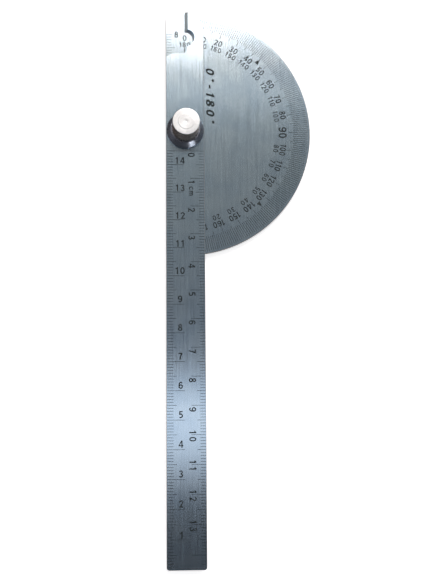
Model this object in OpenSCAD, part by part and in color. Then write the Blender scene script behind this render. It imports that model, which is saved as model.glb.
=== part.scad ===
// Swing-arm protractor: a half-round head plate marked in degrees, a long
// straight blade that turns on top of it, and a clamp at the pivot made of a
// screw from behind, a conical washer and a tall thumb nut.
// Units are millimetres. The origin is on the pivot axis, at the underside of
// the pivot screw's head, so Z = 0 is the level the tool rests on. +Y points
// along the blade towards the pointer tip, +X towards the 90 degree mark, and
// +Z out of the marked faces.

/* [Head plate] */
// Radius of the half-round head plate
head_r = 45; // [44.5:0.5:60]
// Thickness of the head plate
head_t = 1.0; // [0.8:0.1:1.5]
// Radius that rounds each end of the head's straight edge
head_corner_r = 1.1; // [0.5:0.1:2]

/* [Blade] */
// Width of the blade, which is also twice the distance from pivot to the head's straight edge
blade_w = 13.6; // [13.4:0.1:15]
// Thickness of the blade
blade_t = 1.0; // [0.8:0.1:1.5]
// Length of the blade from the pivot to its far end
blade_reach = 152.5; // [100:0.5:300]
// Radius that rounds the two corners at the blade's far end
blade_corner_r = 0.9; // [0.4:0.1:2]
// Distance of the flat shoulder beside the pointer from the pivot
shoulder_y = 29.1; // [28.6:0.1:29.4]
// Height of the sloped corner at the outer end of the shoulder
shoulder_drop = 1.35; // [0.8:0.05:2]
// Radius of the inside corner between the shoulder and the pointer
shoulder_fillet_r = 1.5; // [0.8:0.1:1.7]

/* [Pointer] */
// Gap between the pointer tip and the head's round rim
tip_gap = 0.15; // [0.05:0.05:1]
// Radius of the pointer's rounded outer corner
pointer_r = 7.5; // [6.9:0.1:9]
// Radius of the round bite in the pointer's reading edge
bite_r = 2.9; // [2.6:0.1:3.2]
// Distance of the bite's centre from the pivot
bite_y = 34.4; // [34.4:0.1:35]
// Sideways offset of the bite's centre from the pivot line
bite_x = 0; // [0:0.05:0.4]
// Setback of the short edge between the bite and the shoulder
setback_x = 0.5; // [0.3:0.1:0.7]
// Width of the bevel ground on the reading edge
bevel_w = 1.2; // [0.4:0.1:1.4]
// Width the bevel keeps where it runs on round the outer side of the bite
bite_bevel_w = 1.05; // [0.6:0.05:1.2]
// Height of the square land left under the bevel
bevel_land = 0.15; // [0.1:0.05:0.3]

/* [Pivot screw] */
// Radius of the low round head behind the head plate
screw_head_r = 5.5; // [4.5:0.1:7]
// Thickness of the screw's head
screw_head_t = 1.5; // [1.2:0.1:2]
// Side of the square neck that keys the screw in the head plate
neck_side = 5.0; // [4.8:0.1:5.4]
// Radius of the screw's round shank over the thread crests
shank_r = 2.5; // [2:0.1:2.6]
// Length of shank that stands above the blade
shank_rise = 9.2; // [6:0.1:9.4]

/* [Conical washer] */
// Radius of the washer at its rim
washer_r = 6.6; // [6:0.1:7.5]
// Height of the washer's straight rim
washer_rim = 0.95; // [0.5:0.05:1.5]
// Radius of the flat seat on top of the washer
washer_seat_r = 5.2; // [5:0.1:5.6]
// Height of the washer's cone above its rim
washer_cone = 1.75; // [1:0.05:2.5]

/* [Thumb nut] */
// Radius of the barrel, over the knurl (modelled smooth)
nut_r = 4.75; // [4.5:0.05:5]
// Height of the barrel
nut_h = 7.8; // [7.4:0.1:10]
// Radius of the plain neck under the barrel
nut_neck_r = 4.1; // [3.6:0.1:4.3]
// Height of the plain neck under the barrel
nut_neck_h = 0.5; // [0.3:0.1:1]
// Chamfer on the barrel's lower rim
nut_chamfer = 0.4; // [0.2:0.05:0.5]
// Size of the bevel that breaks the barrel's upper rim
nut_round = 0.3; // [0.2:0.05:0.5]
// Height of the low boss turned on the nut's end face
boss_h = 0.05; // [0.02:0.01:0.2]
// Radius of the low boss on the nut's end face
boss_r = 2.7; // [2:0.05:3.4]

/* [Graduations] */
// Depth the scales are etched into the plates
etch = 0.05; // [0.02:0.01:0.1]
// Width of a graduation line
line_w = 0.14; // [0.1:0.02:0.3]
// Outer end of the degree lines, measured from the pivot
degree_r = 44.2; // [43:0.1:44.3]

/* [Fits] */
// Running film left between faces that slide on each other
film = 0.02; // [0.01:0.01:0.05]
// Radial clearance of the blade and the nut on the shank
run_clear = 0.05; // [0.03:0.01:0.08]
// Radial clearance of the washer on the shank
washer_clear = 0.08; // [0.05:0.01:0.1]
// Clearance of each flat of the square neck in the head plate
neck_clear = 0.02; // [0.01:0.01:0.05]

/* [Hidden] */
$fn = 96;

// How far cutters run past a face, and joined shapes run into each other
lap = 1;

// Levels of the stack, from the screw's head up
z_head = screw_head_t;
z_blade = z_head + head_t + film;
z_blade_top = z_blade + blade_t;
z_washer = z_blade_top + film;
z_cone = z_washer + washer_rim;
z_seat = z_cone + washer_cone;
z_nut = z_seat + film;
z_barrel = z_nut + nut_neck_h;
z_top = z_barrel + nut_h;
z_shank = z_blade_top + shank_rise;

// Plates
half_w = blade_w / 2;
tip_y = head_r - tip_gap;
run_bore_r = shank_r + run_clear;
shoulder_angle = 30; // slope of the shoulder's outer corner

// Cone that bevels the bite: it touches the bite's edge from inside at the
// height of the land, in direction cone_dir from the bite's centre
cone_shift = 1;
cone_dir = 50;
cone_lap = 0.1;
cone_slope = bite_bevel_w / (blade_t - bevel_land);

// Small turned details
screw_head_chamfer = 0.35;
shank_chamfer = 0.4;
washer_chamfer = 0.1;
boss_flare = 0.2;   // run of the boss's sloped side
bore_gap = 0.4;     // room above the shank in the nut
drill_slope = 0.3;  // rise of the drill point per unit of radius
mark_r = 0.75;      // centre mark on the nut
mark_depth = 0.08;

// Line lengths of each scale: [every unit, every 5, every 10]
degree_lengths = [5.3, 6.3, 6.9];
head_ruler_lengths = [2.0, 3.3, 2.6];
left_ruler_lengths = [2.4, 3.5, 6.3];
right_ruler_lengths = [2.0, 3.0, 5.1];
ruler_zero = 43.6;  // distance of the head ruler's zero below the pivot
blade_ruler = 145;  // last line of the left ruler, level with the right one's zero

// Triangle beside the degree lines, set in from degree_r
triangle_base = 7.6;
triangle_apex = 5.8;
triangle_half_w = 0.8;

steel = [0.62, 0.67, 0.69];
nickel = [0.45, 0.46, 0.48];
dark_nickel = [0.33, 0.33, 0.35];

// Length of line number i on a scale
function line_length(i, lengths) = lengths[i % 10 == 0 ? 2 : (i % 5 == 0 ? 1 : 0)];

// A rectangle given by two opposite corners
module rect(x0, y0, x1, y1) {
    translate([x0, y0]) square([x1 - x0, y1 - y0]);
}

// Cutter that etches a flat pattern into the top of a plate
module etched(plate_t) {
    translate([0, 0, plate_t - etch]) linear_extrude(height = lap) children();
}

// Half disc with a chord at x = -half_w, whose two sharp ends are rounded by
// circles tangent to the chord and to the rim
module head_outline() {
    corner_x = -half_w + head_corner_r;
    corner_y = sqrt(pow(head_r - head_corner_r, 2) - corner_x * corner_x);
    // Scales a corner's centre out to a point beyond the rim
    beyond = head_r / (head_r - head_corner_r) * 1.2;
    difference() {
        intersection() {
            circle(r = head_r, $fn = 360);
            rect(-half_w, -head_r - lap, head_r + lap, head_r + lap);
        }
        for (side = [-1, 1])
            polygon([[corner_x, side * corner_y],
                     [-half_w - 2 * lap, side * corner_y],
                     [-half_w - 2 * lap, side * corner_y * beyond],
                     [corner_x * beyond, side * corner_y * beyond]]);
    }
    for (side = [-1, 1])
        translate([corner_x, side * corner_y]) circle(r = head_corner_r);
}

// A line every degree from 0 at +Y clockwise to 180 at -Y, and a solid
// triangle pointing outwards at 45 and at 135
module degree_lines() {
    for (angle = [0 : 180])
        rotate([0, 0, 90 - angle])
            rect(degree_r - line_length(angle, degree_lengths), -line_w / 2,
                 degree_r, line_w / 2);
    for (angle = [45, 135])
        rotate([0, 0, 90 - angle])
            polygon([[degree_r - triangle_base, -triangle_half_w],
                     [degree_r - triangle_apex, 0],
                     [degree_r - triangle_base, triangle_half_w]]);
}

// Millimetre lines running from x = 0 towards +X
module mm_lines(first, last, lengths) {
    for (i = [first : last])
        rect(0, i - line_w / 2, line_length(i, lengths), i + line_w / 2);
}

module protractor_head() {
    neck_hole = neck_side + 2 * neck_clear;
    color(steel)
    translate([0, 0, z_head])
    difference() {
        linear_extrude(height = head_t) head_outline();
        etched(head_t) degree_lines();
        // ruler along the straight edge
        translate([-half_w, -ruler_zero, 0])
            etched(head_t) mm_lines(1, 80, head_ruler_lengths);
        // square hole that keys the pivot screw
        translate([0, 0, head_t / 2])
            cube([neck_hole, neck_hole, head_t + 2 * lap], center = true);
    }
}

// The straight bar below the shoulder, with rounded far corners and a sloped
// corner at the outer end of the shoulder
module bar_outline() {
    corner_x = half_w - blade_corner_r;
    corner_y = -blade_reach + blade_corner_r;
    slope_x = -half_w + shoulder_drop / tan(shoulder_angle);
    difference() {
        union() {
            rect(-half_w, corner_y, half_w, shoulder_y);
            rect(-corner_x, -blade_reach, corner_x, corner_y + lap);
            for (side = [-1, 1])
                translate([side * corner_x, corner_y]) circle(r = blade_corner_r);
        }
        polygon([[-half_w - lap, shoulder_y + lap],
                 [slope_x, shoulder_y + lap],
                 [slope_x, shoulder_y],
                 [-half_w, shoulder_y - shoulder_drop],
                 [-half_w - lap, shoulder_y - shoulder_drop]]);
    }
}

// The pointer: the right half of the bar runs on to the tip. Its outer corner
// is one large round, and a round bite opens its reading edge.
module pointer_outline() {
    round_x = half_w - pointer_r;
    round_y = tip_y - sqrt(pointer_r * pointer_r - round_x * round_x);
    difference() {
        union() {
            rect(0, shoulder_y - lap, half_w, round_y);
            intersection() {
                translate([round_x, round_y]) circle(r = pointer_r, $fn = 180);
                rect(0, round_y - lap, half_w + lap, tip_y + lap);
            }
        }
        translate([bite_x, bite_y]) circle(r = bite_r);
        rect(-lap, shoulder_y - 2 * lap, setback_x, bite_y);
    }
    // inside corner at the foot of the pointer
    fillet_x = setback_x - shoulder_fillet_r;
    fillet_y = shoulder_y + shoulder_fillet_r;
    difference() {
        rect(fillet_x, shoulder_y - lap / 2, setback_x + lap / 2, fillet_y);
        translate([fillet_x, fillet_y]) circle(r = shoulder_fillet_r);
    }
}

// Cutter for the bevel along the reading edge, from the bite to the tip
module edge_bevel() {
    bite_lap = 0.25;
    translate([0, tip_y + lap, 0]) rotate([90, 0, 0])
        linear_extrude(height = tip_y + lap - bite_y - bite_r + bite_lap)
            polygon([[-lap, bevel_land], [0, bevel_land], [bevel_w, blade_t],
                     [bevel_w, blade_t + lap], [-lap, blade_t + lap]]);
}

// Cutter that runs the bevel on round the outer side of the bite, where it
// dies out
module bite_bevel() {
    land_r = bite_r - cone_shift;
    bottom_r = land_r - (bevel_land + cone_lap) * cone_slope;
    top_r = land_r + (blade_t - bevel_land + cone_lap) * cone_slope;
    translate([bite_x + cone_shift * cos(cone_dir), bite_y + cone_shift * sin(cone_dir), 0])
        rotate_extrude()
            polygon([[0, -cone_lap], [bottom_r, -cone_lap],
                     [top_r, blade_t + cone_lap], [0, blade_t + cone_lap]]);
}

module ruler_blade() {
    color(steel)
    translate([0, 0, z_blade])
    difference() {
        linear_extrude(height = blade_t) union() {
            bar_outline();
            pointer_outline();
        }
        // round hole the blade turns on
        translate([0, 0, -lap]) cylinder(r = run_bore_r, h = blade_t + 2 * lap);
        // rulers along both edges; the right one runs the other way
        translate([-half_w, -blade_reach, 0])
            etched(blade_t) mm_lines(1, blade_ruler, left_ruler_lengths);
        translate([half_w, -blade_reach + blade_ruler, 0]) rotate([0, 0, 180])
            etched(blade_t) mm_lines(0, 143, right_ruler_lengths);
        edge_bevel();
        bite_bevel();
    }
}

module pivot_screw() {
    color(nickel) union() {
        // low head with a chamfered lower edge
        rotate_extrude()
            polygon([[0, 0], [screw_head_r - screw_head_chamfer, 0],
                     [screw_head_r, screw_head_chamfer],
                     [screw_head_r, screw_head_t], [0, screw_head_t]]);
        // square neck, as thick as the head plate
        translate([0, 0, z_head + head_t / 2])
            cube([neck_side, neck_side, head_t], center = true);
        // round shank with a chamfered end
        rotate_extrude()
            polygon([[0, z_head], [shank_r, z_head], [shank_r, z_shank - shank_chamfer],
                     [shank_r - shank_chamfer, z_shank], [0, z_shank]]);
    }
}

module conical_washer() {
    bore_r = shank_r + washer_clear;
    color(nickel) rotate_extrude()
        polygon([[bore_r, z_washer], [washer_r - washer_chamfer, z_washer],
                 [washer_r, z_washer + washer_chamfer], [washer_r, z_cone],
                 [washer_seat_r, z_seat], [bore_r, z_seat]]);
}

module thumb_nut() {
    z_face = z_top - boss_h;
    z_bore = z_shank + bore_gap;
    color(dark_nickel) difference() {
        rotate_extrude()
            polygon([[0, z_nut], [nut_neck_r, z_nut], [nut_neck_r, z_barrel],
                     [nut_r - nut_chamfer, z_barrel], [nut_r, z_barrel + nut_chamfer],
                     [nut_r, z_face - nut_round], [nut_r - nut_round, z_face],
                     [boss_r + boss_flare, z_face], [boss_r, z_top], [0, z_top]]);
        // blind bore with a drill point
        rotate_extrude()
            polygon([[0, z_nut - lap], [run_bore_r, z_nut - lap], [run_bore_r, z_bore],
                     [0, z_bore + run_bore_r * drill_slope]]);
        // centre mark
        rotate_extrude()
            polygon([[0, z_top - mark_depth], [mark_r, z_top],
                     [mark_r, z_top + lap], [0, z_top + lap]]);
    }
}

protractor_head();
ruler_blade();
pivot_screw();
conical_washer();
thumb_nut();
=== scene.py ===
"""A swing-arm protractor lying flat on paper, pivot axis on Z through the origin.

The head plate is at the bottom, its rounded side towards +X. The blade lies on it along Y, with the
pointer at +Y and the long bar at -Y. A screw rises through both, under a washer and a thumb nut.
Pieces are modelled in millimetres and scaled to metres when their mesh is finished.
"""
from math import acos, atan2, ceil, copysign, cos, degrees, dist, hypot, pi, radians, sin, sqrt, tan

import bmesh
import bpy
from mathutils import Matrix, Vector
from mathutils.geometry import delaunay_2d_cdt


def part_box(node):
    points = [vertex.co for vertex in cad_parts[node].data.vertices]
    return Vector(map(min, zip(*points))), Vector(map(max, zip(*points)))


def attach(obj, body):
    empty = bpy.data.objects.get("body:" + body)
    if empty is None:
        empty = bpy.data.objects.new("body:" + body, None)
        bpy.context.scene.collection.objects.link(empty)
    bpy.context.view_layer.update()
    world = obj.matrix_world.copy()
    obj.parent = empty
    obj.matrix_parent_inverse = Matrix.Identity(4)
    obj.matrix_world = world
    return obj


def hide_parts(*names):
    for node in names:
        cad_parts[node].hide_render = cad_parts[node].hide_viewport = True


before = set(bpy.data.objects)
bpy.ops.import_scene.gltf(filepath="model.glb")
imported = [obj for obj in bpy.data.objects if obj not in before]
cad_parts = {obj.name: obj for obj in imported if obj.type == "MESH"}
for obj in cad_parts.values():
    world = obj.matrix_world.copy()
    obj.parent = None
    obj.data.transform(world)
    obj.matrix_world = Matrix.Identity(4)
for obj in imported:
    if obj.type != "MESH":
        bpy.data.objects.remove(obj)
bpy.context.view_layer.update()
MM = 0.001
scene = bpy.context.scene


def mm_box(node):
    lo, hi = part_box(node)
    return [v / MM for v in lo], [v / MM for v in hi]


HEAD_LO, HEAD_HI = mm_box("protractor_head")
BLADE_LO, BLADE_HI = mm_box("ruler_blade")
SCREW_TOP = mm_box("pivot_screw")[1][2]
WASHER_LO, WASHER_HI = mm_box("conical_washer")
NUT_LO, NUT_HI = mm_box("thumb_nut")

HALF_W = -HEAD_LO[0]  # of the blade, and from the pivot to the head's straight edge
HEAD_R = HEAD_HI[0]
HEAD_Z0, HEAD_Z1 = HEAD_LO[2], HEAD_HI[2]
BLADE_Z0, BLADE_Z1 = BLADE_LO[2], BLADE_HI[2]
REACH = -BLADE_LO[1]  # from the pivot to the blade's -Y end
TIP_Y = BLADE_HI[1]

ETCH_DEPTH = 0.05
LINE_W = 0.14
RIM_R = 0.12  # rounding of a plate's outline
RIM_STEPS = 4
HOLE_CHAMFER = 0.1
LINE_INSET = RIM_R + 0.03  # where graduations start, in from a straight edge


# ------------------------------------------------------------------- 2D loops
def bow(cx, cy, rx, ry, start, end, n=12):
    """n + 1 points on an elliptical arc, angles in degrees."""
    turns = [radians(start + (end - start) * i / n) for i in range(n + 1)]
    return [(cx + rx * cos(t), cy + ry * sin(t)) for t in turns]


def arc(cx, cy, r, start, end, n):
    return bow(cx, cy, r, r, start, end, n)


def circle(r, n):
    return [(r * cos(2 * pi * k / n), r * sin(2 * pi * k / n)) for k in range(n)]


def line(p, q, step):
    """Points from p up to but not including q, no further apart than step."""
    n = max(1, int(ceil(hypot(q[0] - p[0], q[1] - p[1]) / step)))
    return [(p[0] + (q[0] - p[0]) * i / n, p[1] + (q[1] - p[1]) * i / n) for i in range(n)]


def rect(x0, y0, x1, y1):
    return [(x0, y0), (x1, y0), (x1, y1), (x0, y1)]


def tidy(loop, gap=1e-4):
    """The loop without points that fall on the one before."""
    out = []
    for p in loop:
        if not out or dist(p, out[-1]) > gap:
            out.append(p)
    if dist(out[0], out[-1]) <= gap:
        out.pop()
    return out


def counter_clockwise(loop):
    area = 0.5 * sum(a[0] * b[1] - b[0] * a[1] for a, b in zip(loop, loop[1:] + loop[:1]))
    return loop if area > 0 else loop[::-1]


def unit(a, b):
    """Direction from a to b."""
    length = hypot(b[0] - a[0], b[1] - a[1]) or 1.0
    return (b[0] - a[0]) / length, (b[1] - a[1]) / length


def mitre(u, v, least):
    """Left-hand offset at a corner between directions u and v; least limits it at sharp corners."""
    x, y = -(u[1] + v[1]), u[0] + v[0]
    k = 2.0 / max(x * x + y * y, least)
    return x * k, y * k


def inset(loop, d):
    """A counter-clockwise loop moved inwards by d; negative d moves it outwards."""
    out = []
    for before, p, after in zip(loop[-1:] + loop[:-1], loop, loop[1:] + loop[:1]):
        mx, my = mitre(unit(before, p), unit(p, after), 0.35)
        out.append((p[0] + mx * d, p[1] + my * d))
    return out


# ----------------------------------------------------------------- characters
STROKE = 0.165  # stroke width as a share of the height


def ribbon(path, half):
    """A stroke of the given half width along a path, as one loop."""
    left, right = [], []
    last = len(path) - 1
    for i, p in enumerate(path):
        arrive = unit(path[max(i - 1, 0)], p)
        leave = unit(p, path[min(i + 1, last)])
        u = arrive if i else leave
        v = leave if i < last else u
        mx, my = mitre(u, v, 0.9)
        left.append((p[0] + mx * half, p[1] + my * half))
        right.append((p[0] - mx * half, p[1] - my * half))
    return left + right[::-1]


def hoop(cx, cy, rx, ry, half, power=2.0, n=24):
    """A closed superelliptical stroke as (outer loop, inner loop)."""

    def loop(ax, ay):
        out = []
        for i in range(n):
            c, s = cos(2 * pi * i / n), sin(2 * pi * i / n)
            x = cx + ax * copysign(abs(c) ** (2 / power), c)
            out.append((x, cy + ay * copysign(abs(s) ** (2 / power), s)))
        return out

    return loop(rx + half, ry + half), loop(rx - half, ry - half)


def glyph(char, w):
    """A character one unit high with strokes w wide, as (filled loops, hoops, width)."""
    h = w / 2
    width = 0.62
    left, mid = h, width / 2
    rx = (width - h - left) / 2
    if char == "0":
        return [], [hoop(mid, 0.5, rx, 0.5 - h, h, 2.3)], width
    if char == "1":
        x1, x0 = 0.40, 0.40 - w
        flag = [(x1 - 0.8 * w, 1), (0.12, 0.845), (0.04, 0.80), (0.04, 0.71), (x0, 0.735)]
        return [[(x1, 0), (x1, 1)] + flag + [(x0, 0)]], [], 0.44
    if char == "2":
        top = bow(mid, 0.705, rx, 0.295 - h, 172, -38, 14)
        foot = [(0.02, 0), (width, 0), (width, w), (0.02 + 0.16, w), (0.02, w * 0.6)]
        return [ribbon(top + [(left + 0.10, h + 0.07)], h), foot], [], width
    if char == "3":
        upper = bow(mid - 0.02, 0.735, rx - 0.035, 0.265 - h, 160, -72, 12)
        lower = bow(mid - 0.01, 0.28, rx, 0.28 - h, 72, -160, 13)
        y0, y1 = 0.5 - h * 0.85, 0.5 + h * 0.95
        waist = [(mid - 0.10, y0), (mid + 0.05, y0), (mid + 0.08, y1), (mid - 0.10, y1)]
        return [ribbon(upper, h), ribbon(lower, h), waist], [], width
    if char == "4":
        x0, bar = 0.41, w * 0.82
        slope = [(0.0, 0.21 + bar * 0.5), (0.13, 0.21 + bar * 0.7),
                 (x0 + 0.06, 0.83), (x0 + 0.06, 1.0), (x0 - 0.03, 1.0)]
        return [rect(x0, 0, x0 + w * 0.95, 1), rect(0.0, 0.21, 0.69, 0.21 + bar), slope], [], 0.69
    if char == "5":
        stem = [(0.10, 1.0), (0.10 + w * 0.95, 1.0), (0.05 + w, 0.50), (0.04, 0.46)]
        bowl = ribbon(bow(mid - 0.01, 0.335, rx, 0.335 - h, 136, -138, 16), h)
        return [rect(0.10, 1, 0.56, 1 - w), stem, bowl], [], width
    if char in "69":
        ring = hoop(mid, 0.315, rx, 0.315 - h, h, 2.1)
        back = bow(mid + 0.01, 0.57, rx + 0.01, 0.43 - h, 38, 180, 12)
        tail = ribbon(back + [(left, 0.42), (left + 0.005, 0.30)], h)
        if char == "6":
            return [tail], [ring], width
        tail, outer, inner = [[(width - x, 1 - y) for x, y in lp] for lp in (tail, *ring)]
        return [tail], [(outer, inner)], width
    if char == "7":
        leg = ribbon([(0.545, 1 - w * 0.6), (0.42, 0.68), (0.32, 0.40), (0.26, 0.0)], h)
        return [rect(0.03, 1, 0.60, 1 - w), leg], [], width
    if char == "8":
        upper = hoop(mid, 0.75, rx - 0.04, 0.25 - h + 0.02, h)
        return [], [upper, hoop(mid, 0.275, rx, 0.275 - h + 0.02, h)], width
    if char == "c":
        return [ribbon(bow(0.29, 0.29, 0.29 - h, 0.29 - h, 48, 312, 14), h)], [], 0.52
    if char == "m":
        arches = []
        for x in (0.30, 0.60):
            bend = bow(x + h - 0.11, 0.36, 0.11, 0.22 - h, 0, 180, 8)
            arches.append(ribbon([(x + h, 0), (x + h, 0.36)] + bend[1:], h))
        return [rect(0, 0, w, 0.58)] + arches, [], 0.60 + w
    if char == "-":
        return [rect(0.02, 0.34, 0.36, 0.34 + w)], [], 0.38
    if char == "*":  # stands for the degree sign
        r = 0.15 - h * 0.7
        return [], [hoop(0.15, 0.84, r, r, h * 0.7, 2.0, 16)], 0.30
    raise ValueError(char)


def text_loops(text, height, at, up, narrow=1.0, gap=0.15, centred=True, slant=0.0, stroke=STROKE):
    """Groups of loops for a row of characters.

    at is the middle of the baseline, or its start if not centred. up is the direction of the
    characters' tops, and gap the space between them as a share of the height.
    """
    ux, uy = up
    x, placed = 0.0, []
    for char in text:
        fills, hoops, width = glyph(char, stroke)
        placed.append((fills, hoops, x))
        x += (width * narrow + gap) * height
    start = -(x - gap * height) / 2 if centred else 0.0

    def put(loop, shift):
        out = []
        for px, py in loop:
            lx, ly = (px * narrow + slant * py) * height + shift + start, py * height
            out.append((at[0] + uy * lx + ux * ly, at[1] - ux * lx + uy * ly))
        return out

    groups = []
    for fills, hoops, shift in placed:
        groups += [[put(loop, shift)] for loop in fills]
        groups += [[put(outer, shift), put(inner, shift)] for outer, inner in hoops]
    return groups


# ----------------------------------------------------------------- mesh tools
def add_piece(name, mesh, body, node):
    piece = bpy.data.objects.new(name, mesh)
    scene.collection.objects.link(piece)
    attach(piece, body)
    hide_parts(node)


def finish_mesh(bm, name, materials, sharp=40.0):
    """The bmesh as a mesh in metres; edges steeper than sharp degrees are marked sharp."""
    for v in bm.verts:
        v.co *= MM
    bm.normal_update()
    mesh = bpy.data.meshes.new(name)
    bm.to_mesh(mesh)
    bm.free()
    for material in materials:
        mesh.materials.append(material)
    # marking sharp edges may reset the faces' own shading, so it is put back
    smooth = [p.use_smooth for p in mesh.polygons]
    mesh.set_sharp_from_angle(angle=radians(sharp))
    mesh.polygons.foreach_set("use_smooth", smooth)
    return mesh


def add_skin(bm, outer, inner, height, lines=(), texts=(), fold=(), upper=False):
    """A plate's flat face between two rings of vertices.

    height gives z at (x, y). The upper skin has the lines and texts sunk into it with walls
    round them, and edges along the fold.
    """
    coords, loops, kinds, ring_verts = [], [], [], {}

    def put(loop, kind, verts=()):
        first = len(coords)
        ring_verts.update(zip(range(first, first + len(loop)), verts))
        coords.extend(Vector((p[0], p[1])) for p in loop)
        loops.append(list(range(first, len(coords))))
        kinds.append(kind)

    put([v.co for v in outer], "steel", outer)
    put([v.co for v in inner], "hole", inner)
    for loop in lines:
        put(counter_clockwise(loop), "line")
    for k, group in enumerate(texts):
        for loop in group:
            put(counter_clockwise(loop), k)
    first = len(coords)
    coords.extend(Vector(p) for p in fold)
    cuts = [(first + i, first + i + 1) for i in range(len(fold) - 1)]
    spots, _, faces, sources, _, owners = delaunay_2d_cdt(coords, cuts, loops, 1, 1e-6)

    surface, sunk = {}, {}
    for j, source in enumerate(sources):
        for k in source:
            if k in ring_verts:
                surface[j] = ring_verts[k]
                break

    def vert(j, made, drop):
        if j not in made:
            x, y = spots[j]
            made[j] = bm.verts.new((x, y, height(x, y) - drop))
        return made[j]

    def high(j):
        return vert(j, surface, 0.0)

    def low(j):
        return vert(j, sunk, ETCH_DEPTH)

    edge_ink = {}  # directed edge: whether the face it belongs to is inked
    for face, owner in zip(faces, owners):
        inside = [kinds[i] for i in owner]
        if "steel" not in inside or "hole" in inside:
            continue
        # inside one loop of a character is ink, inside two is the hole of a hoop
        groups = [k for k in inside if isinstance(k, int)]
        inked = "line" in inside or any(groups.count(k) % 2 == 1 for k in set(groups))
        a, b, c = [spots[i] for i in face][:3]
        if (b[0] - a[0]) * (c[1] - a[1]) - (c[0] - a[0]) * (b[1] - a[1]) < 0:
            face = face[::-1]
        if inked:
            made = bm.faces.new([low(i) for i in face])
            made.material_index = 1
        else:
            corners = [high(i) for i in face]
            made = bm.faces.new(corners if upper else corners[::-1])
        made.smooth = False
        for edge in zip(face, face[1:] + face[:1]):
            edge_ink[edge] = inked
    for (a, b), inked in edge_ink.items():
        if inked and edge_ink.get((b, a)) is False:
            wall = bm.faces.new((low(b), low(a), high(a), high(b)))
            wall.material_index = 1
            wall.smooth = False


def plate(name, outline, hole, z0, top, lines, texts, materials, fold=()):
    """A closed plate with rounded rim, chamfered hole and scales etched into its upper face.

    outline and hole are counter-clockwise loops, lines a list of loops, texts a list of loop
    groups; top gives the upper face's height at (x, y). The face attribute "edge" marks the rims.
    """
    bm = bmesh.new()
    edge_layer = bm.faces.layers.float.new("edge")
    tops = [top(*p) for p in inset(outline, RIM_R)]

    def rim_ring(inward, height):
        """A ring of the rim; the rounding is smaller where the plate is thin."""
        out = []
        for p, t in zip(inset(outline, RIM_R * inward), tops):
            out.append(bm.verts.new((p[0], p[1], height(t, min(RIM_R, 0.45 * (t - z0))))))
        return out

    def ring(loop, height):
        return [bm.verts.new((x, y, height(x, y))) for x, y in loop]

    def skirt(a, b, edge=0.0, flip=False):
        for i in range(len(a)):
            j = (i + 1) % len(a)
            face = bm.faces.new((a[i], a[j], b[j], b[i]) if flip else (a[j], a[i], b[i], b[j]))
            face.smooth = True
            face[edge_layer] = edge

    turns = [radians(90.0 * k / RIM_STEPS) for k in range(RIM_STEPS + 1)]
    up = [rim_ring(1 - sin(a), lambda t, r: t - r + r * cos(a)) for a in turns]
    down = [rim_ring(1 - cos(a), lambda t, r: z0 + r - r * sin(a)) for a in turns]
    for a, b in zip(up, up[1:]):
        skirt(a, b, edge=1.0)
    skirt(up[-1], down[0], edge=0.6)
    for a, b in zip(down, down[1:]):
        skirt(a, b, edge=1.0)

    wide_hole = inset(hole, -HOLE_CHAMFER)
    hole_top = ring(wide_hole, top)
    hole_high = ring(hole, lambda x, y: top(x, y) - HOLE_CHAMFER)
    hole_low = ring(hole, lambda x, y: z0 + HOLE_CHAMFER)
    hole_bottom = ring(wide_hole, lambda x, y: z0)
    skirt(hole_top, hole_high, edge=1.0, flip=True)
    skirt(hole_high, hole_low, flip=True)
    skirt(hole_low, hole_bottom, edge=1.0, flip=True)

    add_skin(bm, up[0], hole_top, top, lines, texts, fold, upper=True)
    add_skin(bm, down[-1], hole_bottom, lambda x, y: z0)
    return finish_mesh(bm, name, materials)


def turned(name, rows, materials, closed=False, material_of=None, sharp=40.0):
    """A solid from rows of points; each row is a ring of (x, y, z), or one point on the axis.

    With closed, the last row joins the first. material_of gives a band's material index.
    """
    bm = bmesh.new()
    rings = [[bm.verts.new(p) for p in row] for row in rows]
    bands = list(zip(rings, rings[1:]))
    if closed:
        bands.append((rings[-1], rings[0]))
    for i, (a, b) in enumerate(bands):
        n = max(len(a), len(b))
        for k in range(n):
            j = (k + 1) % n
            if len(a) == 1:
                corners = (a[0], b[j], b[k])
            elif len(b) == 1:
                corners = (a[k], a[j], b[0])
            else:
                corners = (a[k], a[j], b[j], b[k])
            face = bm.faces.new(corners)
            face.smooth = True
            if material_of:
                face.material_index = material_of(i)
    bmesh.ops.recalc_face_normals(bm, faces=bm.faces)
    return finish_mesh(bm, name, materials, sharp)


def circle_row(r, z, n):
    return [(x, y, z) for x, y in circle(r, n)]


def rounded(points, radii, steps=3):
    """A profile of (r, z) points with each inner corner rounded by its own radius."""
    out = [points[0]]
    for before, p, after, radius in zip(points, points[1:], points[2:], radii):
        u, v = unit(p, before), unit(p, after)
        half = acos(u[0] * v[0] + u[1] * v[1]) / 2
        cut = min(radius / tan(half), 0.45 * dist(p, before), 0.45 * dist(p, after))
        start = (p[0] + u[0] * cut, p[1] + u[1] * cut)
        end = (p[0] + v[0] * cut, p[1] + v[1] * cut)
        for k in range(steps + 1):
            s = k / steps
            out.append(tuple(
                (1 - s) ** 2 * start[i] + 2 * s * (1 - s) * p[i] + s * s * end[i] for i in (0, 1)
            ))
    return out + [points[-1]]


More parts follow.
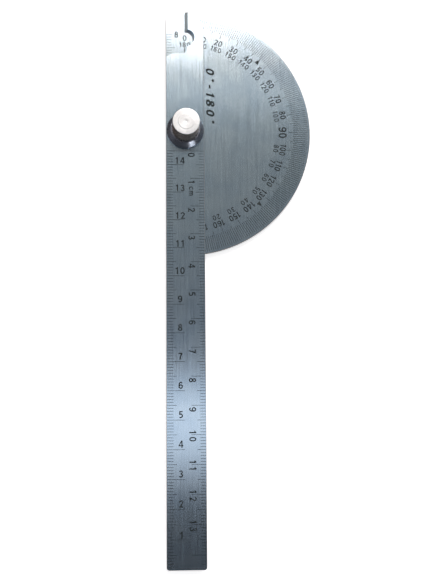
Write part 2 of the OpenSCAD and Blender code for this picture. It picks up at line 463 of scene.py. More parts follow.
# ------------------------------------------------------------------ materials
class Nodes:
    """A short way to write a node tree. Colours are given as RGB."""

    def __init__(self, tree, output):
        self.tree = tree
        tree.nodes.clear()
        self.output = self.add(output)

    def add(self, kind, inputs=None, **settings):
        """A node with its inputs set or linked, keyed by name or index."""
        node = self.tree.nodes.new("ShaderNode" + kind)
        for key, v in settings.items():
            setattr(node, key, v)
        for key, v in (inputs or {}).items():
            socket = node.inputs[key]
            if isinstance(v, bpy.types.NodeSocket):
                self.tree.links.new(v, socket)
            elif socket.type == "RGBA":
                socket.default_value = (*v, 1)
            else:
                socket.default_value = v
        return node

    def surface(self, shader):
        self.tree.links.new(shader, self.output.inputs[0])

    def principled(self, inputs):
        return self.add("BsdfPrincipled", inputs).outputs[0]

    def mix_shader(self, share, a, b):
        return self.add("MixShader", {0: share, 1: a, 2: b}).outputs[0]

    def math(self, operation, a, b=0.0):
        return self.add("Math", {0: a, 1: b}, operation=operation).outputs[0]

    def plus(self, a, b):
        return self.math("ADD", a, b)

    def times(self, a, b):
        return self.math("MULTIPLY", a, b)

    def rest(self, a):
        return self.math("SUBTRACT", 1.0, a)

    def remap(self, v, span, to, smooth=False):
        """v carried from one span of values to another, held at the ends."""
        node = self.add("MapRange", {0: v, 1: span[0], 2: span[1], 3: to[0], 4: to[1]}, clamp=True)
        if smooth:
            node.interpolation_type = "SMOOTHSTEP"
        return node.outputs[0]

    def mix(self, share, a, b, blend="MIX"):
        return self.add("Mix", {0: share, 6: a, 7: b}, data_type="RGBA", blend_type=blend).outputs[2]

    def scaled(self, vector, factor):
        inputs = {0: vector, "Scale": factor}
        return self.add("VectorMath", inputs, operation="SCALE").outputs[0]

    def split(self, vector):
        return self.add("SeparateXYZ", {0: vector}).outputs

    def combine(self, inputs):
        return self.add("CombineXYZ", inputs).outputs[0]

    def to_world(self, vector):
        return self.add("VectorTransform", {0: vector}, vector_type="VECTOR",
                        convert_from="OBJECT", convert_to="WORLD").outputs[0]

    def attribute(self, name):
        return self.add("Attribute", attribute_name=name).outputs["Fac"]

    def bump(self, height, strength, distance):
        inputs = {"Strength": strength, "Distance": distance, "Height": height}
        return self.add("Bump", inputs).outputs[0]

    def noise(self, at, scale, detail=3.0, roughness=0.5, stretch=(1, 1, 1), offset=(0, 0, 0)):
        placed = self.add("Mapping", {"Vector": at, "Scale": stretch, "Location": offset})
        inputs = {"Vector": placed.outputs[0], "Scale": scale,
                  "Detail": detail, "Roughness": roughness}
        return self.add("TexNoise", inputs, noise_dimensions="3D").outputs["Fac"]

    def ramp(self, v, stops):
        """A grey ramp through (position, brightness) stops."""
        node = self.add("ValToRGB", {0: v})
        elements = node.color_ramp.elements
        while len(elements) > 1:
            elements.remove(elements[-1])
        for i, (position, grey) in enumerate(stops):
            element = elements[0] if i == 0 else elements.new(position)
            element.position = position
            element.color = (grey, grey, grey, 1)
        return node.outputs[0]


def new_material(name):
    """(material, its nodes, the object's coordinates in millimetres)."""
    material = bpy.data.materials.new(name)
    material.use_nodes = True
    g = Nodes(material.node_tree, "OutputMaterial")
    return material, g, g.scaled(g.add("TexCoord").outputs["Object"], 1 / MM)


STEEL_TINTS = ((0.600, 0.760, 0.880), (0.640, 0.785, 0.875))
STEEL_ROUGHNESS = 0.195


def brushed_steel(name, rim_painted_tint, seed=0.0, end_lean=0.0):
    """Sheet steel brushed along Y: long fine scratches, faint mottling, edges lighter in colour, and
    a dull rim whose given colour is painted light and shade along the edges.
    """
    material, g, mm = new_material(name)
    coarse = g.noise(mm, scale=1.0, detail=4.0, roughness=0.62,
                     stretch=(2.6, 0.06, 1.0), offset=(seed, 0, 0))
    fine = g.noise(mm, scale=1.0, detail=3.0, roughness=0.7,
                   stretch=(9.0, 0.14, 1.0), offset=(seed, 5.0, 0))
    hair = g.noise(mm, scale=1.0, detail=2.0, roughness=0.5,
                   stretch=(22.0, 0.28, 1.0), offset=(seed, 9.0, 0))
    mottle = g.noise(mm, scale=0.11, detail=3.0, roughness=0.55, offset=(seed, 3.0, 0))
    streak = g.plus(g.times(coarse, 0.45), g.times(fine, 0.55))
    shade = g.remap(streak, span=(0.33, 0.67), to=(0.86, 1.10))
    shade = g.times(shade, g.remap(hair, span=(0.3, 0.7), to=(0.95, 1.05)))
    shade = g.times(shade, g.remap(mottle, span=(0.3, 0.7), to=(0.95, 1.05)))
    hue = g.mix(g.remap(mottle, span=(0.35, 0.65), to=(0, 1)), *STEEL_TINTS)
    colour = g.scaled(hue, shade)
    edge = g.attribute("edge")
    # the colour is lighter towards the rims
    edge_lightened = g.mix(g.times(edge, 0.55), colour, (0.86, 0.90, 0.93))
    roughness = g.remap(streak, span=(0.3, 0.7),
                        to=(STEEL_ROUGHNESS - 0.035, STEEL_ROUGHNESS + 0.045))
    roughness = g.plus(roughness, g.times(edge, 0.06))
    wide_roughness = g.remap(streak, span=(0.3, 0.7), to=(0.42, 0.50))
    rim_share = g.times(edge, 0.85)
    tangent = g.to_world(g.combine({0: 1.0}))
    relief = g.plus(g.times(fine, 0.6), g.times(hair, 0.4))
    normal = g.bump(relief, strength=0.10, distance=0.00002)
    if end_lean:
        # normals lean a fraction of a degree towards +Y from y = 8 to 24 mm, as if the pointer end
        # were sprung out of flat
        lean = g.remap(g.split(mm)[1], span=(8.0, 24.0), to=(0.0, end_lean), smooth=True)
        lean = g.to_world(g.combine({1: lean}))
        leant = g.add("VectorMath", {0: normal, 1: lean}, operation="ADD").outputs[0]
        normal = g.add("VectorMath", {0: leant}, operation="NORMALIZE").outputs[0]

    def lobe(roughness, anisotropy):
        return g.principled({"Base Color": edge_lightened, "Metallic": 1.0, "Roughness": roughness,
                             "Anisotropic": anisotropy, "Tangent": tangent, "Normal": normal})

    # a second, wider lobe for the light scattered by cross scratches
    narrow, wide = lobe(roughness, 0.95), lobe(wide_roughness, 0.5)
    face = g.mix_shader(0.05, narrow, wide)
    # the deburred rim is dull all round; its given colour is painted, a pale highlight on the head
    # and a dark contact shadow on the blade
    rim = g.principled({"Base Color": rim_painted_tint, "Metallic": 1.0, "Roughness": 0.75})
    g.surface(g.mix_shader(rim_share, face, rim))
    return material


def etching_ink(name, colour):
    """Matt ink, slightly uneven and rubbed thin in places."""
    material, g, mm = new_material(name)
    grain = g.noise(mm, scale=3.0, detail=4.0, roughness=0.6)
    rub = g.noise(mm, scale=0.5, detail=2.0, stretch=(1, 0.5, 1), offset=(4, 0, 0))
    paler = [v * 1.7 + 0.01 for v in colour]
    mixed = g.mix(g.remap(grain, span=(0.35, 0.7), to=(0, 1)), colour, paler)
    mixed = g.mix(g.remap(rub, span=(0.52, 0.8), to=(0.0, 0.35)), mixed, (0.16, 0.19, 0.20))
    g.surface(g.principled({
        "Base Color": mixed,
        "Specular IOR Level": 0.2,
        "Roughness": g.remap(grain, span=(0.3, 0.7), to=(0.36, 0.52)),
        "Normal": g.bump(grain, strength=0.3, distance=0.00001),
    }))
    return material


# near-black brown of the painted shade in the nut's grooves and recesses
PAINTED_SHADE = (0.02, 0.016, 0.013)


def turned_metal(name, tint, roughness, ring_scale, anisotropy, shade_share=0.0, bump_mm=0.01):
    """Plated metal with fine rings round the axis and light scuffs.

    One argument sets the share of painted shade, in a near-black brown, in the grooves and recesses
    that the point attribute "groove" marks.
    """
    material, g, mm = new_material(name)
    x, y, z = g.split(mm)
    radius = g.math("SQRT", g.plus(g.times(x, x), g.times(y, y)))
    rings = g.noise(g.combine({0: radius, 1: z}), scale=ring_scale, roughness=0.6)
    scuff = g.noise(mm, scale=1.1, detail=4.0, roughness=0.6)
    shade = g.times(g.remap(rings, span=(0.3, 0.7), to=(0.93, 1.04)),
                    g.remap(scuff, span=(0.3, 0.75), to=(0.92, 1.03)))
    colour = g.scaled(tint, shade)
    if shade_share > 0:
        # painted shade where the groove attribute is high, less where the scuff noise is low
        groove = g.attribute("groove")
        share = g.times(g.remap(groove, span=(0.25, 0.85), to=(0.0, 1.0)), shade_share)
        share = g.times(share, g.remap(scuff, span=(0.25, 0.6), to=(0.75, 1.0)))
        colour = g.mix(share, colour, PAINTED_SHADE)
    g.surface(g.principled({
        "Base Color": colour,
        "Metallic": 1.0,
        "Roughness": g.remap(scuff, span=(0.3, 0.7), to=(roughness - 0.04, roughness + 0.07)),
        "Anisotropic": anisotropy,
        "Anisotropic Rotation": 0.25,
        "Tangent": g.add("Tangent", direction_type="RADIAL", axis="Z").outputs[0],
        "Normal": g.bump(g.plus(rings, g.times(scuff, 0.5)), strength=0.15, distance=bump_mm * MM),
    }))
    return material


# head rim: pale and warm, a painted edge highlight and outline
HEAD_STEEL = brushed_steel("steel_head", rim_painted_tint=(0.58, 0.56, 0.54))
# blade rim: dark, painted contact shadow along the edges
BLADE_STEEL = brushed_steel("steel_blade", rim_painted_tint=(0.34, 0.35, 0.36), seed=37.0, end_lean=0.007)
INK = etching_ink("scale_ink", colour=(0.012, 0.020, 0.022))
# the washer's nickel is painted dark blue-grey, a painted reflection of dark surroundings
WASHER_DARKENED_METAL = turned_metal("nickel_washer_darkened", tint=(0.29, 0.31, 0.36), roughness=0.28,
                            ring_scale=6.0, anisotropy=0.3)
SCREW_METAL = turned_metal("nickel_screw", tint=(0.62, 0.63, 0.65), roughness=0.28,
                           ring_scale=5.0, anisotropy=0.4)
THREAD_METAL = turned_metal("nickel_thread", tint=(0.55, 0.56, 0.58), roughness=0.30,
                            ring_scale=4.0, anisotropy=0.2)
# the nut's end face is the same nickel painted near white, a painted highlight
NUT_FACE_LIT_METAL = turned_metal("nickel_nut_face_lit", tint=(0.95, 0.96, 0.96), roughness=0.40,
                              ring_scale=5.0, anisotropy=0.2, bump_mm=0.004)
# the knurl's brownish tint is a painted reflection of brown surroundings; its grooves also get
# painted shade
KNURL_SHADED_METAL = turned_metal("nickel_nut_knurl_shaded", tint=(0.80, 0.66, 0.58), roughness=0.30,
                           ring_scale=3.0, anisotropy=0.0, shade_share=0.93)


# ----------------------------------------------------------------- head plate
HEAD_CORNER_R = 1.1
HEAD_HOLE_HALF = 2.52  # of the square hole
DIAL_R = 44.2  # outer end of the degree lines
RULE_Y = -43.6  # zero of the centimetre scale on the straight edge

# fine placing of the numerals: degrees round the dial: (degrees further on, mm further out)
DIAL_NUDGE = {
    0: (0.0, -0.4), 10: (0.35, -0.2), 40: (0.0, 0.12), 50: (-0.08, 0.18), 60: (-0.25, 0.3),
    70: (-0.5, 0.29), 80: (-0.44, 0.3), 100: (0.4, 0.12), 110: (0.27, 0.1), 120: (0.3, 0.1),
    130: (0.3, 0.12), 140: (0.4, 0.07), 150: (0.55, 0.12), 160: (0.57, 0.2), 170: (0.5, 0.15),
}


def head_outline():
    cx = -HALF_W + HEAD_CORNER_R
    cy = sqrt((HEAD_R - HEAD_CORNER_R) ** 2 - cx * cx)
    meet = degrees(atan2(cy, cx))
    points = arc(0, 0, HEAD_R, -meet, meet, 480)
    points += arc(cx, cy, HEAD_CORNER_R, meet, 180, 16)[1:]
    points += line((-HALF_W, cy), (-HALF_W, -cy), 4.0)[1:]
    points += arc(cx, -cy, HEAD_CORNER_R, 180, 360 - meet, 16)[:-1]
    return tidy(points)


def square_hole(half):
    corners = rect(half, -half, -half, half)
    corners = [corners[0], corners[3], corners[2], corners[1]]
    out = []
    for p, q in zip(corners, corners[1:] + corners[:1]):
        out += line(p, q, 1.3)
    return out


def on_dial(angle, points):
    """Points given as (across, outwards) at an angle in degrees clockwise from +Y."""
    ux, uy = sin(radians(angle)), cos(radians(angle))
    return [(ux * out + uy * across, uy * out - ux * across) for across, out in points]


def dial_text(text, angle, mid_r, height, **style):
    at, up = on_dial(angle, [(0, mid_r - height / 2), (0, 1)])
    return text_loops(text, height, at, up, **style)


def head_lines():
    lines = []
    for a in range(181):
        length = 6.9 if a % 10 == 0 else 6.3 if a % 5 == 0 else 5.3
        lines.append(on_dial(a, rect(-LINE_W / 2, DIAL_R - length, LINE_W / 2, DIAL_R)))
    for a in (45, 135):  # small triangles
        foot, tip = DIAL_R - 7.6, DIAL_R - 5.8
        lines.append(on_dial(a, [(-0.8, foot), (0.8, foot), (0, tip)]))
    # short tapered mark on +Y, inside the dial
    lines.append([(-0.24, 28.7), (0.06, 28.7), (0.16, 31.5), (-0.08, 31.5)])
    for i in range(1, 81):
        length = 2.6 if i % 10 == 0 else 3.3 if i % 5 == 0 else 2.0
        y = RULE_Y + i
        lines.append(rect(-HALF_W + LINE_INSET, y - LINE_W / 2, -HALF_W + length, y + LINE_W / 2))
    return lines


def head_texts():
    texts = []
    for a in range(0, 181, 10):
        if a == 90:
            texts += dial_text("90", a, 35.1, 2.9)
            continue
        turn, out = DIAL_NUDGE.get(a, (0.0, 0.0))
        texts += dial_text(str(a), a + turn, 35.5 + out, 2.15)
        texts += dial_text(str(180 - a), a + turn, 33.0 + out, 1.85, gap=0.25, stroke=0.15)
    for k in range(1, 9):
        texts += text_loops(str(k), 2.3, (-3.0, RULE_Y + 10 * k - 1.15), (0, 1))
    # range marking beside the blade
    texts += text_loops("0*-180*", 3.0, (7.6, 13.9), (1, 0),
                        narrow=1.3, gap=0.42, slant=0.28, stroke=0.2)
    return texts


def build_head():
    return plate("head_plate", head_outline(), square_hole(HEAD_HOLE_HALF), HEAD_Z0,
                 lambda x, y: HEAD_Z1, head_lines(), head_texts(), [HEAD_STEEL, INK])


# ---------------------------------------------------------------------- blade
BLADE_CORNER_R = 0.9
BLADE_BORE_R = 2.55
POINTER_R = 7.5  # curve from the +X side to the tip
BITE_Y, BITE_R = 34.4, 2.9  # round notch centred on x = 0
BITE_EXIT_X = 0.5
SHOULDER_Y, SHOULDER_FILLET, SHOULDER_DROP = 29.1, 1.5, 1.35

# the pointer's reading edge at x = 0 is ground down to a thin land
BEVEL_W, BEVEL_LAND = 1.2, 0.15
# the bevel runs on round the bite as part of a cone set off towards its outer side
CONE_X, CONE_Y = cos(radians(50)), BITE_Y + sin(radians(50))
CONE_LOW_R, CONE_HIGH_R = BITE_R - 1.0, BITE_R + 0.05


def blade_outline():
    """Counter-clockwise from the +X corner at -Y: bar, pointer, bite, shoulder, sloped corner."""
    w, corner = HALF_W, BLADE_CORNER_R
    cx = w - POINTER_R
    cy = TIP_Y - sqrt(POINTER_R * POINTER_R - cx * cx)
    points = arc(w - corner, -REACH + corner, corner, -90, 0, 10)
    points += line((w, -REACH + corner), (w, cy), 6.0)[1:]
    points += arc(cx, cy, POINTER_R, 0, degrees(atan2(TIP_Y - cy, -cx)), 40)
    points += line((0, TIP_Y), (0, BITE_Y + BITE_R), 1.0)[1:]
    # the bite runs clockwise, from the reading edge round to the short edge
    bite_low = BITE_Y - sqrt(BITE_R * BITE_R - BITE_EXIT_X**2)
    bite_end = degrees(atan2(bite_low - BITE_Y, BITE_EXIT_X))
    points += arc(0.0, BITE_Y, BITE_R, 90, bite_end, 40)
    # inside fillet down to the shoulder
    fillet_x, fillet_y = BITE_EXIT_X - SHOULDER_FILLET, SHOULDER_Y + SHOULDER_FILLET
    points += line((BITE_EXIT_X, bite_low), (BITE_EXIT_X, fillet_y), 0.4)[1:]
    points += arc(fillet_x, fillet_y, SHOULDER_FILLET, 0, -90, 12)
    slope_x, slope_y = -w + SHOULDER_DROP / tan(radians(30)), SHOULDER_Y - SHOULDER_DROP
    points += line((fillet_x, SHOULDER_Y), (slope_x, SHOULDER_Y), 0.8)[1:]
    points += line((slope_x, SHOULDER_Y), (-w, slope_y), 0.8)
    points += line((-w, slope_y), (-w, -REACH + corner), 6.0)
    points += arc(-w + corner, -REACH + corner, corner, 180, 270, 10)
    return tidy(points)


def blade_top(x, y):
    rise = BLADE_Z1 - BLADE_Z0 - BEVEL_LAND
    z = BLADE_Z1
    if y > BITE_Y + BITE_R - 0.25 and x < BEVEL_W:
        z = BLADE_Z0 + BEVEL_LAND + rise * max(0.0, x) / BEVEL_W
    from_cone = sqrt((x - CONE_X) ** 2 + (y - CONE_Y) ** 2)
    k = (from_cone - CONE_LOW_R) / (CONE_HIGH_R - CONE_LOW_R)
    return min(z, BLADE_Z0 + BEVEL_LAND + rise * max(0.0, k))


def bevel_fold(outline):
    """Where the bevel meets the flat face: straight from the tip, then an arc round the bite."""
    y0 = CONE_Y + sqrt(CONE_HIGH_R**2 - (BEVEL_W - CONE_X) ** 2)
    y1 = TIP_Y - RIM_R - 0.09
    fold = [(BEVEL_W, y0 + (y1 - y0) * i / 8) for i in range(8, -1, -1)]
    # it ends at the highest unbevelled point on the bite's rim
    end = max(
        (p for p in inset(outline, RIM_R)
         if 31.6 < p[1] < 37.6 and 1.4 < p[0] < 4.0 and blade_top(*p) > BLADE_Z1 - 1e-6),
        key=lambda p: p[1],
    )
    a0 = degrees(atan2(y0 - CONE_Y, BEVEL_W - CONE_X))
    a1 = degrees(atan2(end[1] - CONE_Y, end[0] - CONE_X))
    return fold + arc(CONE_X, CONE_Y, CONE_HIGH_R, a0, a1, 40)[1:-1] + [end]


def blade_lines():
    """Millimetres up the -X edge from the -Y end, and down the +X edge from 145 mm up."""
    lines = []
    for i in range(1, 146):
        length = 6.3 if i % 10 == 0 else 3.5 if i % 5 == 0 else 2.4
        y = -REACH + i
        lines.append(rect(-HALF_W + LINE_INSET, y - LINE_W / 2, -HALF_W + length, y + LINE_W / 2))
    for i in range(144):
        length = 5.1 if i % 10 == 0 else 3.0 if i % 5 == 0 else 2.0
        y = -REACH + 145 - i
        lines.append(rect(HALF_W - length, y - LINE_W / 2, HALF_W - LINE_INSET, y + LINE_W / 2))
    return lines


def blade_texts():
    height = 2.4
    texts = []
    for k in range(1, 15):
        x = -2.1 + (0.2 if k < 7 or k > 11 else 0.07)
        y = -REACH + 10 * k + 0.6 + (-0.27 if k > 10 or k == 1 else 0.05)
        texts += text_loops(str(k), height, (x, y), (0, 1), gap=0.31)
    for k in range(14):
        y = -REACH + 145 - 10 * k
        start = y - 0.65 if k < 10 else y + 1.5
        texts += text_loops(str(k), height, (0.95, start), (1, 0), centred=False, gap=0.5)
        if k == 1:
            texts += text_loops("cm", height, (1.3, start - 2.3), (1, 0),
                                centred=False, gap=0.12, stroke=0.13)
    return texts


def build_blade():
    outline = blade_outline()
    return plate("blade", outline, circle(BLADE_BORE_R, 96), BLADE_Z0, blade_top,
                 blade_lines(), blade_texts(), [BLADE_STEEL, INK], fold=bevel_fold(outline))


# ---------------------------------------------------------------- pivot screw
SCREW_HEAD_R = 5.5
NECK_HALF = 2.5  # of the square neck in the head plate
SHANK_R = 2.44
THREAD_PITCH, THREAD_CREST, THREAD_ROOT = 0.8, 2.49, 2.06
THREAD_Z = BLADE_Z1 - 0.2


def square_row(half, z, n):
    out = []
    for k in range(n):
        a = 2 * pi * k / n
        r = half / max(abs(cos(a)), abs(sin(a)))
        out.append((r * cos(a), r * sin(a), z))
    return out


def thread_row(z, n):
    """A ring of the helical thread, shallower towards both of its ends."""
    fade = min(1.0, (z - BLADE_Z1 + 0.2) / 0.8, (SCREW_TOP - 0.4 - z) / 0.6 + 0.15)
    row = []
    for k in range(n):
        phase = (z / THREAD_PITCH - k / n) % 1.0
        depth = min(1.0, max(0.0, (abs(2 * phase - 1) - 0.12) / 0.76))
        r = THREAD_CREST - (THREAD_CREST - THREAD_ROOT) * depth * max(0.0, fade)
        row.append((r * cos(2 * pi * k / n), r * sin(2 * pi * k / n), z))
    return row


def build_screw():
    n = 64
    profile = rounded(
        [(0.0, 0.0), (5.1, 0.0), (SCREW_HEAD_R, 0.4), (SCREW_HEAD_R, HEAD_Z0), (3.6, HEAD_Z0)],
        [0.4, 0.3, 0.08], 4,
    )
    rows = [[(0, 0, 0.0)]] + [circle_row(r, z, n) for r, z in profile[1:]]
    rows += [square_row(NECK_HALF, HEAD_Z0, n), square_row(NECK_HALF, HEAD_Z1, n)]
    rows.append(circle_row(SHANK_R, HEAD_Z1, n))
    first_thread = len(rows)
    rows.append(circle_row(SHANK_R, BLADE_Z1 - 0.35, n))
    z = THREAD_Z
    while z < SCREW_TOP - 0.45:
        rows.append(thread_row(z, n))
        z += 0.05
    for r, drop in ((2.42, 0.34), (2.1, 0.04), (2.0, 0.0)):
        rows.append(circle_row(r, SCREW_TOP - drop, n))
    rows.append([(0, 0, SCREW_TOP)])
    return turned("pivot_screw_threaded", rows, [SCREW_METAL, THREAD_METAL],
                  material_of=lambda i: 1 if i >= first_thread else 0, sharp=50)


# ------------------------------------------------------------- conical washer
def build_washer():
    bore_r, top_r, outer_r = 2.58, 5.2, WASHER_HI[0]
    z0, z1 = WASHER_LO[2], WASHER_HI[2]
    seam = ((bore_r + outer_r) / 2, z0)  # the profile starts and ends under the washer
    corners = [(outer_r, z0), (outer_r, z0 + 0.95), (top_r, z1), (bore_r, z1), (bore_r, z0)]
    profile = rounded([seam] + corners + [seam], [0.12, 0.22, 0.14, 0.12, 0.1], 5)[:-1]
    rows = [circle_row(r, z, 160) for r, z in profile]
    return turned("conical_washer_turned", rows, [WASHER_DARKENED_METAL], closed=True, sharp=50)


# ------------------------------------------------------------------ thumb nut
def build_nut():
    teeth, steps_per_tooth = 30, 8
    n = teeth * steps_per_tooth
    outer_r = NUT_HI[0]
    bottom, top = NUT_LO[2], NUT_HI[2]
    barrel_z = bottom + 0.5
    neck_r, bore_r = 4.1, 2.55
    bore_top = BLADE_Z1 + 9.6
    knurl_depth = 0.30
    rows, grooves = [], []

    def put(row, groove):
        rows.append(row)
        grooves.extend(groove if isinstance(groove, list) else [groove] * len(row))

    def put_circle(r, z, groove=0.0):
        put(circle_row(r, z, n), groove)

    # from the drill point of the blind bore, down the bore, round the neck and up the barrel
    # each row's second value is its share of painted shade: full up the bore, about half round the
    # neck and collar, and the groove depth along the knurl
    put([(0, 0, bore_top + bore_r * 0.3)], 1.0)
    put_circle(bore_r, bore_top, 1.0)
    put_circle(bore_r, bottom + 0.35, 0.6)
    put_circle(bore_r + 0.3, bottom, 0.2)
    neck = [(3.2, bottom), (neck_r, bottom), (neck_r, barrel_z), (outer_r - 0.4, barrel_z)]
    for r, z in rounded(neck, [0.12, 0.1])[1:]:
        put_circle(r, z, 0.5)
    put_circle(outer_r - 0.30, barrel_z + 0.05, 0.55)

    # knurled barrel: two crossing families of V grooves
    step = (2 * pi * outer_r / n) / tan(radians(30))
    z0, z1 = barrel_z + 0.34, top - 0.39
    count = int((z1 - z0) / step)
    step = (z1 - z0) / count
    for i in range(count + 1):
        z = z0 + i * step
        fade = min(1.0, i / 3.0, (count - i) / 3.0)
        row, row_grooves = [], []
        for k in range(n):
            p = ((k + i) % steps_per_tooth) / steps_per_tooth
            q = ((k - i) % steps_per_tooth) / steps_per_tooth
            d = max(abs(2 * p - 1), abs(2 * q - 1))
            d = min(1.0, max(0.0, (d - 0.30) / 0.70))
            r = outer_r - 0.015 - knurl_depth * d * (0.15 + 0.85 * fade)
            a = 2 * pi * k / n
            row.append((r * cos(a), r * sin(a), z))
            row_grooves.append(d)
        put(row, row_grooves)
    last_knurl = len(rows) - 1

    # upper round, face, low boss and centre mark
    face = top - 0.05
    for r, z in rounded([(outer_r, face - 0.36), (outer_r, face), (3.05, face)], [0.3], 5)[1:]:
        put_circle(r, z)
    for r, z in rounded([(3.0, face), (2.9, face), (2.7, top), (2.5, top)], [0.05, 0.05]):
        put_circle(r, z)
    put_circle(1.3, top)
    put_circle(0.75, top - 0.01)
    put_circle(0.4, top - 0.05, 0.1)
    put([(0, 0, top - 0.08)], 0.2)

    mesh = turned("thumb_nut_knurled", rows, [NUT_FACE_LIT_METAL, KNURL_SHADED_METAL],
                  material_of=lambda i: 1 if i < last_knurl else 0, sharp=35)
    mesh.attributes.new("groove", "FLOAT", "POINT").data.foreach_set("value", grooves)
    return mesh


# ---------------------------------------------------------------------- stage
def floor_paper():
    """White paper with a slight glow, seen dark grey in reflections."""
    material, g, mm = new_material("floor_paper")
    cloud = g.noise(mm, scale=0.02, detail=2.0)
    rays = g.add("LightPath").outputs
    paper = g.mix(g.remap(cloud, span=(0.3, 0.7), to=(0, 1)), (0.90,) * 3, (0.93,) * 3)
    glow = g.plus(0.42, g.times(rays["Is Camera Ray"], 0.35))
    # a thin line of contact shade where the part meets the paper
    near = g.add("AmbientOcclusion", {"Distance": 0.0014}, samples=12)
    shade = g.remap(near.outputs["AO"], span=(0.45, 0.95), to=(0.0, 1.0))
    shade = g.mix(shade, (0.55, 0.52, 0.50), (1, 1, 1))
    paper = g.mix(1.0, paper, shade, blend="MULTIPLY")
    g.surface(g.principled({
        "Base Color": g.mix(rays["Is Glossy Ray"], paper, (0.16, 0.16, 0.17)),
        "Roughness": 0.9,
        "Specular IOR Level": 0.1,
        "Emission Color": shade,
        "Emission Strength": g.times(g.rest(rays["Is Glossy Ray"]), glow),
    }))
    return material


def add_floor():
    bm = bmesh.new()
    bmesh.ops.create_grid(bm, x_segments=8, y_segments=8, size=3.0)
    mesh = bpy.data.meshes.new("floor")
    bm.to_mesh(mesh)
    bm.free()
    floor = bpy.data.objects.new("floor", mesh)
    scene.collection.objects.link(floor)
    mesh.materials.append(floor_paper())


# overhead panels: (tangent of the tilt towards +Y, brightness)
PANELS = [
    (-0.30, 0.04), (-0.03, 0.06),  # dim, towards -Y
    (0.01, 1.1), (0.06, 1.1),  # long soft panel
    (0.08, 0.14), (0.34, 0.24),  # dim middle
    (0.36, 1.2),  # narrow soft panel
    (0.385, 0.15), (0.40, 0.02), (0.60, 0.02),
]
PANEL_SPAN = (PANELS[0][0], PANELS[-1][0])
PANEL_PEAK = 2.0  # the ramp holds brightness as a share of this


def overhead_light(g, tilt_x, tilt_y):
    """Brightness of the panels, stronger towards -X, and of the lamp."""
    start, end = PANEL_SPAN
    stops = [((p - start) / (end - start), v / PANEL_PEAK) for p, v in PANELS]
    panels = g.ramp(g.remap(tilt_y, span=PANEL_SPAN, to=(0, 1)), stops)
    side = g.remap(tilt_x, span=(-0.45, 0.45), to=(1.45, 0.50))
    overhead = g.times(g.times(panels, PANEL_PEAK), side)
    # the lamp, far towards +Y, burns out part of the head plate
    lamp = g.times(g.remap(tilt_y, span=(0.4150, 0.4300), to=(0.0, 5.0), smooth=True),
                   g.remap(tilt_y, span=(0.470, 0.490), to=(1.0, 0.1), smooth=True))
    across = g.math("ABSOLUTE", tilt_x)
    lamp = g.times(lamp, g.remap(across, span=(0.30, 0.50), to=(1.0, 0.0), smooth=True))
    return g.plus(overhead, lamp)


def wall_light(g, x, y, z):
    """Brightness of the walls: darker at -Y, lighter at +Y, with a low glow at -X."""
    wall = g.remap(y, span=(-0.8, 0.7), to=(0.12, 0.34), smooth=True)
    wall = g.times(wall, g.remap(z, span=(0.0, 0.6), to=(0.8, 1.25)))
    glow = g.times(g.remap(x, span=(-0.75, -0.97), to=(0.0, 0.22), smooth=True),
                   g.remap(z, span=(0.35, 0.1), to=(0.0, 1.0)))
    return g.plus(wall, glow)


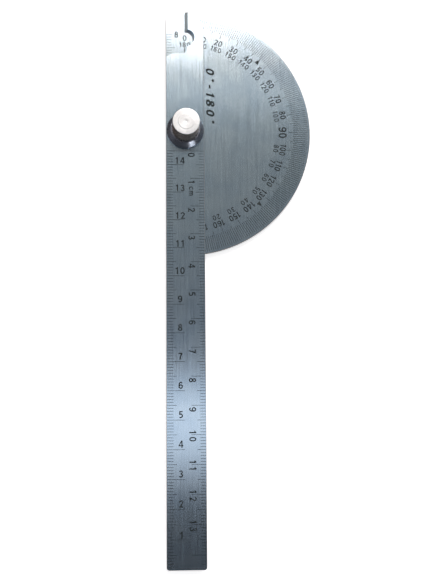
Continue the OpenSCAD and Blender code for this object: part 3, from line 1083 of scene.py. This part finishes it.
def add_world():
    world = bpy.data.worlds.new("studio")
    scene.world = world
    world.use_nodes = True
    g = Nodes(world.node_tree, "OutputWorld")
    x, y, z = g.split(g.add("TexCoord").outputs["Generated"])
    height = g.math("MAXIMUM", z, 0.2)
    tilt_y = g.math("DIVIDE", y, height)
    tilt_x = g.math("DIVIDE", x, height)
    overhead = overhead_light(g, tilt_x, tilt_y)
    wall = wall_light(g, x, y, z)
    share = g.remap(z, span=(0.62, 0.86), to=(0.0, 1.0), smooth=True)
    light = g.plus(g.times(overhead, share), g.times(wall, g.rest(share)))
    # the camera itself sees plain white
    camera_ray = g.add("LightPath").outputs["Is Camera Ray"]
    light = g.plus(g.times(light, g.rest(camera_ray)), g.times(camera_ray, 1.0))
    # light from low panels is a little bluer, and the lamp a little warmer
    low = g.remap(tilt_y, span=(0.24, 0.10), to=(0.0, 1.0))
    tone = g.mix(low, (1.0, 1.0, 1.0), (0.99, 1.0, 1.10))
    far = g.remap(tilt_y, span=(0.365, 0.405), to=(0.0, 1.0))
    tone = g.mix(far, tone, (1.09, 0.965, 0.90))
    colour = g.mix(camera_ray, g.scaled(tone, light), (1, 1, 1))
    g.surface(g.add("Background", {"Color": colour, "Strength": 1.0}).outputs[0])


def area_light(name, at, size, size_y, watts):
    """A rectangular light aimed just above the middle of the floor."""
    light = bpy.data.lights.new(name, "AREA")
    light.shape = "RECTANGLE"
    light.size = size
    light.size_y = size_y
    light.energy = watts
    lamp = bpy.data.objects.new(name, light)
    lamp.location = at
    aim = Vector((0, 0, 0.004)) - Vector(at)
    lamp.rotation_euler = aim.to_track_quat("-Z", "Y").to_euler()
    scene.collection.objects.link(lamp)


# the turn and shift (mm) that carry points, measured from the head's underside, to camera axes
CAMERA_TURN = {"X": -0.15456, "Y": 0.06275, "Z": 0.00858}
CAMERA_SHIFT = Vector((-10.60148, 56.87317, -379.10631))


def add_camera():
    turn = Matrix.Identity(3)
    for axis, angle in CAMERA_TURN.items():
        turn = turn @ Matrix.Rotation(angle, 3, axis)
    place = -(turn.transposed() @ CAMERA_SHIFT) + Vector((0, 0, HEAD_Z0))
    data = bpy.data.cameras.new("camera")
    data.sensor_fit = "AUTO"
    data.sensor_width = 36.0
    data.lens = 65.41074
    data.clip_start, data.clip_end = 0.01, 20.0
    camera = bpy.data.objects.new("camera", data)
    camera.matrix_world = Matrix.Translation(place * MM) @ turn.transposed().to_4x4()
    scene.collection.objects.link(camera)
    scene.camera = camera


# ------------------------------------------------------------------- assembly
add_piece("head_plate", build_head(), "head", "protractor_head")
add_piece("blade", build_blade(), "blade", "ruler_blade")
add_piece("pivot_screw_threaded", build_screw(), "head", "pivot_screw")
add_piece("conical_washer_turned", build_washer(), "washer", "conical_washer")
add_piece("thumb_nut_knurled", build_nut(), "nut", "thumb_nut")

add_floor()
add_world()
area_light("key", at=(0.36, 0.90, 0.90), size=0.55, size_y=0.55, watts=9.0)
area_light("low_right", at=(0.47, -0.75, 0.17), size=0.34, size_y=0.16, watts=1.3)
add_camera()
scene.view_settings.view_transform = "Standard"
scene.view_settings.look = "None"
